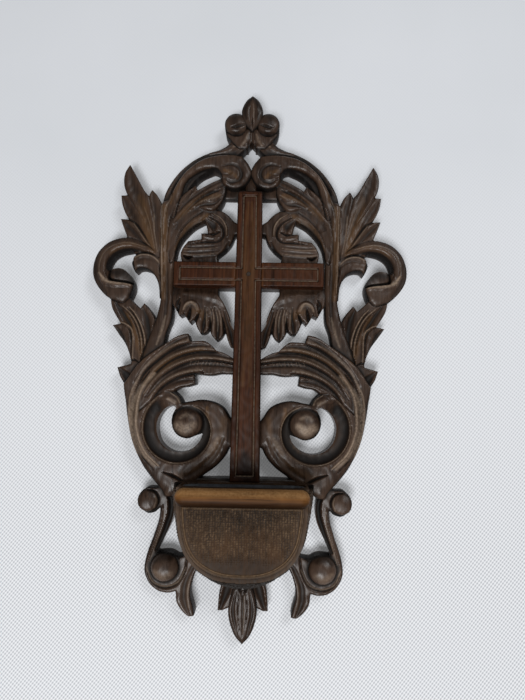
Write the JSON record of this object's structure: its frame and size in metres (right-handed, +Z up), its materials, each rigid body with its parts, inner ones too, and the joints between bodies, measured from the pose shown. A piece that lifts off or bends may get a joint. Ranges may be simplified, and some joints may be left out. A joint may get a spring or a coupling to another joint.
{
  "type": "holy water stoup",
  "caption": "Wall-hung holy water stoup: pierced, scroll-carved wooden back with an applied cross, over a hollowed bowl with a lift-out metal liner.",
  "frame": {"origin": "on the flat back of the board, behind the point where the two arms of the cross meet", "axes": "+Z up along the board, +Y out of its back into the wall, so the front faces -Y; +X to the right seen from the front"},
  "size_m": [0.1744, 0.0431, 0.3011],
  "materials": {
    "walnut": "dark stained walnut, waxed, satin",
    "walnut_cross": "redder walnut, waxed, satin",
    "worn_walnut": "walnut rubbed back to a golden tan",
    "iron": "aged, dull",
    "zinc": "dull grey zinc sheet"
  },
  "bodies": {
    "stoup": {"back_board": "walnut", "cross_upright": "walnut_cross", "cross_arm": "walnut_cross", "crossing_pin": "iron", "bowl": "walnut", "rim_moulding": "worn_walnut", "bowl_screws": "iron"},
    "liner": {"water_liner": "zinc"}
  },
  "joints": [
    {"name": "liner_lift", "type": "slide", "parent": "stoup", "child": "liner", "axis": [0, 0, 1], "range_m": [0, 0.04]}
  ]
}
